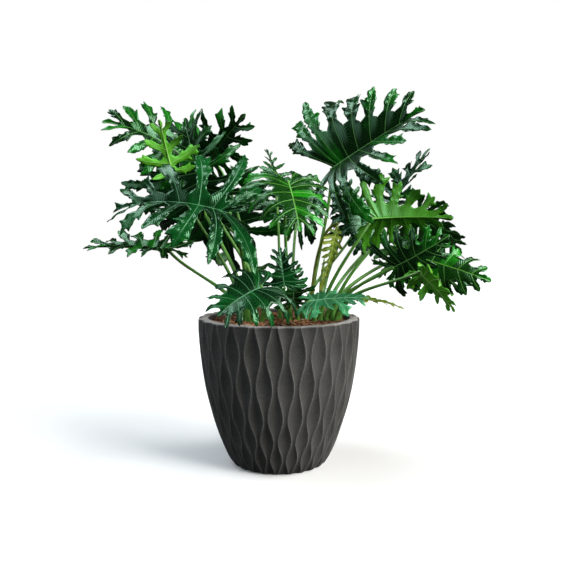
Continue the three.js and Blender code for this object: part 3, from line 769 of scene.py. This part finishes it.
def lobe_grid(leaf, lobe, near_border, far_border, free_near):
    """Rows of points from the midrib to a lobe's tip: each one's place on the flat leaf, its lift and
    its POINT_VALUES. The borders are where the lobe joins those beside it."""
    joined_rows = len(near_border)
    rows = max(6, math.ceil((1 - leaf.joined) * lobe.long / ROW_STEP))
    past = np.append(np.zeros(joined_rows), np.linspace(0, 1, rows + 1)[1:])
    early = np.linspace(0, 1, joined_rows)
    share = np.append(early * leaf.joined, leaf.joined + (1 - leaf.joined) * past[joined_rows:])
    vein = lobe.vein(share)
    way = lobe.way(share)
    aside = right_of(way)
    free = smooth(past / NOTCH_SHARE)
    quilt = QUILT_DEPTH * leaf.length * np.append(np.sin(early * math.pi / 2), np.ones(rows))
    channel = -0.15 + 0.6 * chance(leaf.seed, lobe.key + 4)
    used = COLUMNS if far_border is not None else COLUMNS[COLUMNS <= 0]
    tone = chance(leaf.seed, lobe.key + 9)
    grid = []
    for column in used:
        far = column > 0
        a = abs(column)
        border = far_border if far else near_border
        width = margin(leaf, lobe, far, past)
        side = 1 if far else -1
        corner = border[-1] - vein[joined_rows - 1]
        edge = vein + (1 - free)[:, None] * corner * (1 - 0.45 * free)[:, None]
        edge += (free * side * width)[:, None] * aside
        if a == 1:
            finger = side_fingers(leaf, lobe, far, past) * lobe.half * free
            edge += finger[:, None] * (side * aside + FINGER_LEAN * way)
        edge[:joined_rows] = border
        place = (1 - a) * vein + a * edge
        offset = ((place - vein) * aside).sum(1)
        turn = lobe.twist * past
        place[joined_rows:] -= ((offset * (1 - np.cos(turn)))[:, None] * aside)[joined_rows:]
        wave = TURN * (lobe.long * past / (30 + 16 * chance(leaf.seed, lobe.key + 5 + far)))
        ruffle = RUFFLE * lobe.half * free * np.sin(wave + 6 * chance(leaf.seed, lobe.key + 7 + far))
        lift = offset * np.sin(turn) - lobe.droop * lobe.long * past ** 2
        lift += a * a * (quilt * (1 - free) + free * channel * width + ruffle)
        gap = np.linalg.norm(place - vein, axis=1)
        open_edge = 1 if (free_near and column < 0) else free
        x, y = place.T
        values = (gap, share * lobe.long, y, a * open_edge, past, tone)
        grid.append(columns(x, y, lift, *values))
    return np.stack(grid, axis=1)


def side_borders(leaf, lobes, rows):
    """The lines where the lobes of one side join each other, from the midrib to the notches."""
    share = np.linspace(0, 1, rows)[:, None]
    marks = [np.array([mark, 0.0]) for mark in leaf.midrib_marks()]
    tips = [lobe.vein(leaf.joined) for lobe in lobes]
    tips.append(marks[-1] + [leaf.joined * (leaf.length - marks[-1][0]), 0])
    notches = [(here + after) / 2 for here, after in zip(tips, tips[1:])]
    first = lobes[0]
    near = first.vein(leaf.joined) - 0.5 * first.half * right_of(first.way(leaf.joined))
    knee = leaf.length * np.array([-0.012, 0.045])
    borders = [bow(np.zeros(2), knee, near, share)]
    return borders + [(1 - share) * mark + share * notch for mark, notch in zip(marks[1:], notches)]


def blade_surface(leaf):
    """The middle surface of a blade: its points, faces, and the values at the points."""
    longest = leaf.length * leaf.width * max(LOBE_LENGTH)
    rows = math.ceil(leaf.joined * longest / JOINED_STEP) + 1
    rows_of_points, faces = [], []
    count = 0
    for side in (1, -1):
        lobes = [Lobe(leaf, side, index) for index in range(leaf.lobes)]
        borders = side_borders(leaf, lobes, rows) + [None]
        for index, lobe in enumerate(lobes + [EndLobe(leaf, side)]):
            grid = lobe_grid(leaf, lobe, borders[index], borders[index + 1], index == 0)
            grid[..., 1] *= side
            quads = grid_faces(*grid.shape[:2], False)
            faces.append((quads if side > 0 else quads[:, ::-1]) + count)
            rows_of_points.append(grid.reshape(-1, grid.shape[-1]))
            count += len(rows_of_points[-1])
    points = np.concatenate(rows_of_points)
    keys = np.round(points[:, :3], WELD_DIGITS) + 0.0
    first, back = np.unique(keys, axis=0, return_index=True, return_inverse=True)[1:]
    faces = back.reshape(-1)[np.concatenate(faces)]
    sound = (faces != np.roll(faces, 1, axis=1)).all(axis=1)
    return points[first, :3], faces[sound], points[first, 3:]


def blade_shape(leaf):
    """A blade as a thin closed plate, with its midrib and veins standing out below it."""
    flat, faces, values = blade_surface(leaf)
    points = leaf.shaped(*flat.T)
    corners = points[faces]
    face_normals = np.cross(corners[:, 1] - corners[:, 0], corners[:, 2] - corners[:, 0])
    normals = np.zeros_like(points)
    for corner in range(3):
        np.add.at(normals, faces[:, corner], face_normals)
    half = unit(normals + 1e-12) * BLADE_THICKNESS / 2
    shape = Shape(*plate(points + half, points - half, faces), upper=np.repeat([1, 0], len(points)),
                  rib=0, **dict(zip(POINT_VALUES, np.tile(values.T, 2))))
    add_ribs(leaf, shape)
    return shape


def add_ribs(leaf, shape):
    """The midrib and the lobes' veins as tapering tubes along the underside."""
    finish = {**dict.fromkeys(POINT_VALUES, 0), "tone": 0.5, "upper": 0, "rib": 1}
    x = np.linspace(-7, 0.985 * leaf.length, math.ceil(leaf.length / 6))
    radius = leaf.rib_radius(x)
    end = leaf.midrib_marks()[-1]
    past = np.clip((x - end) / (leaf.length - end) - leaf.joined, 0, 1) / (1 - leaf.joined)
    droop = END_LOBE_DROOP * (leaf.length - end) * past ** 2
    path = leaf.shaped(x, np.zeros(len(x)), -droop - BLADE_THICKNESS / 2 - 0.4 * radius)
    shape.add(*tube(path, radius, MIDRIB_SIDES), **finish)
    for side in (1, -1):
        for index in range(leaf.lobes):
            lobe = Lobe(leaf, side, index)
            share = np.linspace(0.02, 0.93, max(6, math.ceil(lobe.long / 9)))
            radius = 0.42 * leaf.rib_radius(lobe.start[0]) * (1 - share) ** 1.1 + 0.22
            past = np.clip((share - leaf.joined) / (1 - leaf.joined), 0, 1)
            x, y = lobe.vein(share).T
            lift = -lobe.droop * lobe.long * past ** 2 - BLADE_THICKNESS / 2 - 0.35 * radius
            shape.add(*tube(leaf.shaped(x, side * y, lift), radius, VEIN_SIDES), **finish)


def stalk_shape(leaf):
    """A long round stalk with a shallow groove and a clasping foot."""
    below = CROWNS[leaf.crown] + leaf.foot_reach * heading(math.radians(leaf.foot_angle))
    foot = np.array([*below, MULCH_TOP + 0.3])
    end = leaf.base - 5.5 * leaf.along - 1.6 * leaf.out
    reach = np.linalg.norm(end - foot)
    rise = foot + [0, 0, 0.3 * reach]
    line = unit(end - foot)
    in_line = max(0, line.dot(leaf.along)) * max(0, 1 - 1.5 * abs(line.dot(leaf.across)))
    arrival = unit(0.6 * line + (0.3 + 0.5 * in_line) * leaf.along + 0.9 * (1 - in_line) * leaf.out)
    knee = end - 0.3 * reach * arrival
    t = np.linspace(0, 1, STALK_SAMPLES)[:, None]
    curve = (1 - t) ** 3 * foot + 3 * t * (1 - t) ** 2 * rise + 3 * t ** 2 * (1 - t) * knee + t ** 3 * end
    run = np.append(0, np.cumsum(np.linalg.norm(np.diff(curve, axis=0), axis=1)))
    length = run[-1]
    share = np.linspace(0, 1, math.ceil(length / STALK_STEP))
    path = columns(*(np.interp(share * length, run, part) for part in curve.T))
    thick, thin = leaf.stout + 1.8, 0.65 * leaf.stout + 0.9
    radius = thick + (thin - thick) * np.minimum(1, 1.4 * share ** 0.7)
    for (swelling, extent), way_off in ((STALK_FOOT, share), (STALK_TOP, 1 - share)):
        radius += swelling * np.exp(-way_off * length / extent)
    path[0] -= [0, 0, 4]
    points, faces = tube(path, radius, STALK_SIDES, groove)
    rings = len(points) // STALK_SIDES
    around = np.tile(circle(STALK_SIDES), rings)
    climb = np.append(np.repeat(np.linspace(0, 1, rings), STALK_SIDES), [0, 1])
    return Shape(points, faces, rise=climb, run=climb * length,
                 around_x=np.append(np.cos(around), [0, 0]), around_y=np.append(np.sin(around), [0, 0]))


def groove(angles):
    """The section of a stalk: round, with a shallow groove down one side."""
    return 1 - GROOVE_DEPTH * np.exp(-((angles - math.pi / 2) / GROOVE_WIDTH) ** 2)


# Materials

class Finish:
    """A material, and the nodes that lead to its one Principled shader."""

    def __init__(self, name, specular, **settings):
        self.material = bpy.data.materials.new(name)
        self.material.use_nodes = True
        self.tree = self.material.node_tree
        self.shader = self.tree.nodes["Principled BSDF"]
        self.shader.inputs["Specular IOR Level"].default_value = specular
        for socket, value in settings.items():
            self.shader.inputs[socket.replace("_", " ")].default_value = value

    def feed(self, socket, value):
        """Leads a value to a socket: an output is linked, and a number or colour is set."""
        if isinstance(value, bpy.types.NodeSocket):
            self.tree.links.new(value, socket)
        elif isinstance(value, tuple) and len(value) == 3 and len(socket.default_value) == 4:
            socket.default_value = (*value, 1)
        else:
            socket.default_value = value

    def node(self, kind, inputs, output=0, **settings):
        """An output of a new node, whose inputs are fed by name or number."""
        node = self.tree.nodes.new(kind)
        for name, value in settings.items():
            setattr(node, name, value)
        for key, value in inputs.items():
            self.feed(node.inputs[key], value)
        return node.outputs[output]

    def point_values(self, *names):
        return [self.node("ShaderNodeAttribute", {}, "Fac", attribute_name=name) for name in names]

    def place(self):
        return self.node("ShaderNodeTexCoord", {}, "Object")

    def vector(self, *parts):
        return self.node("ShaderNodeCombineXYZ", dict(enumerate(parts)))

    def scaled(self, vector, *scales):
        return self.node("ShaderNodeVectorMath", {0: vector, 1: scales}, operation="MULTIPLY")

    def math(self, operation, *values):
        return self.node("ShaderNodeMath", dict(enumerate(values)), operation=operation)

    def plus(self, first, second):
        return self.math("ADD", first, second)

    def times(self, first, second):
        return self.math("MULTIPLY", first, second)

    def span(self, value, low, high, start=0, end=1):
        """A value from low to high brought smoothly to the span from start to end."""
        inputs = dict(enumerate((value, low, high, start, end)))
        return self.node("ShaderNodeMapRange", inputs, interpolation_type="SMOOTHSTEP")

    def noise(self, vector, scale, detail, roughness):
        inputs = {"Vector": vector, "Scale": scale, "Detail": detail, "Roughness": roughness}
        return self.node("ShaderNodeTexNoise", inputs, "Fac")

    def mix(self, share, first, second):
        """One colour turned to another, by a share."""
        return self.node("ShaderNodeMix", {0: share, 6: first, 7: second}, 2, data_type="RGBA")

    def over(self, colour, paint, value, low, high, most=1):
        """A colour with a paint laid over it where a value rises from low to high."""
        return self.mix(self.span(value, low, high, 0, most), colour, paint)

    def bump(self, height, distance, strength=1, under=None):
        """The normals of a relief, on top of those of another one under it."""
        inputs = {"Height": height, "Distance": distance * MM, "Strength": strength}
        if under is not None:
            inputs["Normal"] = under
        return self.node("ShaderNodeBump", inputs)

    def finish(self, colour, roughness, normal):
        self.feed(self.shader.inputs["Base Color"], colour)
        self.feed(self.shader.inputs["Roughness"], roughness)
        self.feed(self.shader.inputs["Normal"], normal)
        return self.material


def planter_finish():
    """Dark cast stone: charcoal with a fine grain, a pale line along the crests that is partly wear and
    partly a painted highlight, and a rim top painted light grey as painted top light.
    """
    f = Finish("planter_stone", 0.35)
    place = f.place()
    cloud = f.noise(place, 9, 4, 0.6)
    grain = f.noise(place, 420, 4, 0.7)
    speck = f.noise(place, 900, 2, 0.6)
    crest, rim = f.point_values("crest", "rim")
    body = f.over((0.042, 0.042, 0.039), (0.068, 0.067, 0.064), cloud, 0.3, 0.7)
    body = f.over(body, (0.125, 0.123, 0.119), grain, 0.42, 0.7, 0.6)
    # Pale line along the crests: partly wear, partly a painted highlight on the ridges
    body = f.mix(f.times(crest, f.span(grain, 0.4, 0.6, 0.2, 0.6)), body, (0.3, 0.295, 0.285))
    # The rim's top painted light grey with grain: painted top light
    painted_lit_rim = f.over((0.32, 0.3, 0.285), (0.52, 0.495, 0.475), grain, 0.35, 0.68)
    colour = f.mix(rim, body, painted_lit_rim)
    colour = f.over(colour, (0.014, 0.014, 0.014), speck, 0.66, 0.74, 0.5)
    normal = f.bump(speck, 0.25, 0.4, f.bump(grain, 0.5, 0.55))
    return f.finish(colour, f.span(cloud, 0.2, 0.8, 0.62, 0.8), normal)


def soil_finish():
    """Dark crumbly potting mix with pale grains."""
    f = Finish("potting_mix", 0.25)
    place = f.place()
    crumb = f.noise(place, 180, 6, 0.7)
    fleck = f.noise(place, 520, 2, 0.5)
    colour = f.over((0.02, 0.013, 0.008), (0.075, 0.048, 0.028), crumb, 0.35, 0.65)
    colour = f.over(colour, (0.4, 0.37, 0.32), fleck, 0.7, 0.76)
    return f.finish(colour, f.span(crumb, 0.3, 0.7, 0.8, 0.95), f.bump(crumb, 2.5))


def bark_finish():
    """Bark chips: each one its own brown, from orange to nearly black, with fibres along it."""
    f = Finish("bark_chips", 0.3)
    tone, *grain = f.point_values("tone", "grain_x", "grain_y", "grain_z")
    place = f.vector(*grain)
    fibre = f.noise(f.scaled(place, 0.18, 1, 1), 1.1, 4, 0.65)
    patch = f.noise(place, 0.22, 3, 0.6)
    colour = f.over((0.045, 0.02, 0.01), (0.2, 0.075, 0.03), tone, 0.1, 0.5)
    colour = f.over(colour, (0.42, 0.2, 0.085), tone, 0.5, 0.85)
    colour = f.over(colour, (0.5, 0.36, 0.22), tone, 0.9, 0.98)
    colour = f.over(colour, (0.07, 0.028, 0.013), fibre, 0.42, 0.62, 0.55)
    colour = f.over(colour, (0.3, 0.17, 0.1), patch, 0.56, 0.72, 0.6)
    return f.finish(colour, f.span(fibre, 0.3, 0.7, 0.7, 0.92), f.bump(fibre, 0.8, 0.9))


def bed_finish():
    """Fine bark crumbs between and below the chips."""
    f = Finish("bark_crumbs", 0.25)
    place = f.place()
    crumb = f.noise(place, 210, 5, 0.7)
    patch = f.noise(place, 60, 3, 0.6)
    colour = f.over((0.028, 0.013, 0.007), (0.16, 0.065, 0.028), crumb, 0.35, 0.65)
    colour = f.over(colour, (0.3, 0.14, 0.06), patch, 0.5, 0.7, 0.6)
    return f.finish(colour, f.span(crumb, 0.3, 0.7, 0.8, 0.95), f.bump(crumb, 2))


def crown_finish():
    """A brown scarred stem, with dry straw-coloured sheaths."""
    f = Finish("crown_bark", 0.3)
    place = f.place()
    streak = f.noise(f.scaled(place, 320, 320, 40), 1, 4, 0.6)
    patch = f.noise(place, 90, 3, 0.6)
    stem = f.over((0.06, 0.045, 0.022), (0.2, 0.17, 0.09), patch, 0.35, 0.65)
    dry = f.over((0.26, 0.16, 0.07), (0.1, 0.05, 0.025), streak, 0.35, 0.7)
    colour = f.mix(*f.point_values("sheath"), stem, dry)
    return f.finish(colour, f.span(patch, 0.3, 0.7, 0.6, 0.85), f.bump(streak, 0.9, 0.8))


def spear_finish():
    """A young rolled leaf: yellow green, paler at the seam of its roll."""
    f = Finish("young_leaf", 0.4)
    seam, rise = f.point_values("seam", "rise")
    streak = f.noise(f.scaled(f.vector(seam, rise, 0.3), 26, 9, 1), 1, 3, 0.5)
    colour = f.over((0.3, 0.4, 0.12), (0.12, 0.3, 0.05), rise, 0, 1)
    colour = f.over(colour, (0.42, 0.5, 0.2), streak, 0.35, 0.7, 0.5)
    colour = f.over(colour, (0.5, 0.55, 0.3), seam, 0.9, 1, 0.8)
    return f.finish(colour, f.span(streak, 0.3, 0.7, 0.35, 0.5), f.bump(streak, 0.4, 0.6))


def stalk_finish(name, deep, pale):
    """A satin stalk with fine lengthwise streaks and small pale flecks, paler towards its foot."""
    f = Finish(name, 0.4)
    rise, *skin = f.point_values("rise", "around_x", "around_y", "run")
    place = f.vector(*skin)
    streak = f.noise(f.scaled(place, 7, 7, 0.03), 1, 4, 0.6)
    fleck = f.noise(f.scaled(place, 6, 6, 0.5), 1.2, 2, 0.5)
    colour = f.over(deep, pale, streak, 0.35, 0.68)
    colour = f.over(colour, tuple(0.7 * part + 0.06 for part in pale), rise, 0.12, 0, 0.5)
    colour = f.over(colour, tuple(1.6 * part + 0.03 for part in pale), fleck, 0.7, 0.78, 0.45)
    return f.finish(colour, f.span(streak, 0.3, 0.7, 0.36, 0.5), f.bump(streak, 0.5, 0.6))


def leaf_finish(name, deep, bright, below, vein, gloss):
    """A leaf blade: deep and bright patches above, partly uneven tone and partly painted shade, darker at
    the lobes' roots and brighter towards their tips, with pale veins and a thin painted highlight along the
    margin; matt and lighter below."""
    f = Finish(name, 0.6, Specular_Tint=(0.46, 1, 0.6, 1))
    gap, run, rib_gap, edge, reach, tone = f.point_values(*POINT_VALUES)
    upper, rib = f.point_values("upper", "rib")
    place = f.place()
    cloud = f.noise(place, 30, 4, 0.6)
    mottle = f.noise(place, 160, 3, 0.6)
    side_place = f.plus(f.plus(run, f.times(gap, -1.5)), f.times(cloud, 6))
    side_wave = f.math("SINE", f.times(side_place, TURN / SIDE_VEIN_STEP))
    line = f.times(f.span(gap, 0.35, 1.15, 1, 0), f.span(reach, 1, 0.3, 0.25, 1))
    strong = f.math("MAXIMUM", f.math("MAXIMUM", line, f.span(rib_gap, 0.7, 1.9, 1, 0)), rib)
    # Deep and bright patches: random tone, plus painted shade that darkens the lobes' roots
    tone_and_painted_shade = f.plus(f.plus(f.times(tone, 0.55), f.times(cloud, 0.6)), f.span(reach, 0, 1, -0.14, 0.14))
    above = f.over(deep, bright, tone_and_painted_shade, 0.44, 0.84)
    above = f.over(above, deep, mottle, 0.35, 0.75, 0.3)
    under = f.over(below, tuple(0.72 * part for part in below), cloud, 0.3, 0.7)
    colour = f.mix(upper, under, above)
    side_vein = f.times(f.span(side_wave, 0.86, 1), f.span(upper, 0, 1, 0.4, 0.2))
    colour = f.mix(side_vein, colour, vein)
    # A thin painted highlight along the lobes' margins
    colour = f.over(colour, bright, edge, 0.93, 1, 0.5)
    colour = f.mix(f.times(strong, f.span(upper, 0, 1, 0.75, 0.62)), colour, vein)
    matt = f.span(mottle, 0.3, 0.7, gloss + 0.13, gloss + 0.21)
    quilt = f.plus(f.times(side_wave, -0.5), f.times(strong, -1.2))
    normal = f.bump(mottle, 0.2, 0.3, f.bump(quilt, 0.3, 0.7))
    return f.finish(colour, f.plus(matt, f.times(upper, -0.16)), normal)


# Assembly

def finishes():
    """A material for each slot of the record, and one for the bed under the chips."""
    materials = {
        "planter": planter_finish(),
        "soil": soil_finish(),
        "bark": bark_finish(),
        "bark_bed": bed_finish(),
        "crown_bark": crown_finish(),
        "new_leaf": spear_finish(),
    }
    materials.update({name: stalk_finish(name, *look) for name, look in STALK_LOOKS.items()})
    materials.update({name: leaf_finish(name, *look) for name, look in LEAF_LOOKS.items()})
    return materials


def build(materials):
    """Every piece of the part, with its material."""
    planter = Shape(*planter_solid())
    planter_body = make_piece("planter_body", planter, materials["planter"], ["pot"])
    drilled(planter_body)
    mark_planter(planter_body)

    soil = frame["nodes"]["potting_soil"]
    soil.data.materials.clear()
    soil.data.materials.append(materials["soil"])

    bed = Shape(*mulch_bed_solid())
    make_piece("mulch_bed", bed, materials["bark_bed"], ["bark_mulch"])
    make_piece("bark_chips", chips_shape(), materials["bark"], [], flat=True)

    for name, centre in CROWNS.items():
        crown = crown_shape(centre)
        make_piece(f"stem_{name}", crown, materials["crown_bark"], [f"crown_{name}"])
    for name, (tip, radius) in SPEARS.items():
        spear = spear_shape(CROWNS[name], tip, radius)
        make_piece(f"rolled_leaf_{name}", spear, materials["new_leaf"], [f"new_leaf_{name}"])
    for leaf in map(Leaf, LEAVES):
        for kind, piece, shape_of in (("stalk", "petiole", stalk_shape), ("blade", "leaf", blade_shape)):
            node = f"{kind}_{leaf.name}"
            slot = SLOTS[node]
            make_piece(f"{piece}_{leaf.name}", shape_of(leaf), materials[slot], [node])


# Studio

def soft_sun(name, place, strength, spread, colour):
    """A distant light with soft shadows, shining from a place to the plant."""
    data = bpy.data.lights.new(name, "SUN")
    data.energy = strength
    data.angle = math.radians(spread)
    data.color = colour
    light = linked(name, data)
    light.location = place
    x, y, z = np.array(SUN_TARGET) - place
    light.rotation_euler = (math.acos(-z / math.hypot(x, y, z)), 0, math.atan2(-x, y))


def plain_surface(name, points, faces, specular, **settings):
    """A stage piece from points in metres, which sheds no light on the plant and isn't mirrored in it."""
    mesh = bpy.data.meshes.new(name)
    mesh.from_pydata(points, [], faces)
    surface = linked(name, mesh)
    mesh.materials.append(Finish(name, specular, **settings).material)
    surface.visible_diffuse = False
    surface.visible_glossy = False
    return surface


def studio():
    """A white floor and a white wall all around, four soft lights, and the camera."""
    scene = bpy.context.scene
    scene.view_settings.view_transform = "Standard"
    world = bpy.data.worlds.new("studio")
    world.use_nodes = True
    background = world.node_tree.nodes["Background"].inputs
    background["Color"].default_value = WORLD_COLOUR
    background["Strength"].default_value = WORLD_STRENGTH
    scene.world = world

    ring = [ROOM * heading(angle) for angle in circle(ROOM_SIDES)]
    plain_surface("floor", [(x, y, -0.0005) for x, y in ring], [tuple(range(ROOM_SIDES))], 0.5,
                  Base_Color=(0.88, 0.88, 0.88, 1), Roughness=0.7)
    points = [(x, y, z) for z in (-0.001, ROOM) for x, y in ring]
    after = [*range(1, ROOM_SIDES), 0]
    faces = [(side, after[side], after[side] + ROOM_SIDES, side + ROOM_SIDES) for side in range(ROOM_SIDES)]
    wall = plain_surface("wall", points, faces, 0, Base_Color=(0, 0, 0, 1),
                         Emission_Color=(1, 1, 1, 1), Emission_Strength=1)
    wall.visible_shadow = False

    for name, sun in SUNS.items():
        soft_sun(name, *sun)
    lens = bpy.data.cameras.new("camera")
    lens.sensor_width = CAMERA_SENSOR
    lens.lens = CAMERA_LENS
    camera = linked("camera", lens)
    camera.location = CAMERA_PLACE
    camera.rotation_euler = (math.radians(CAMERA_TILT), 0, 0)
    scene.camera = camera


build(finishes())
studio()
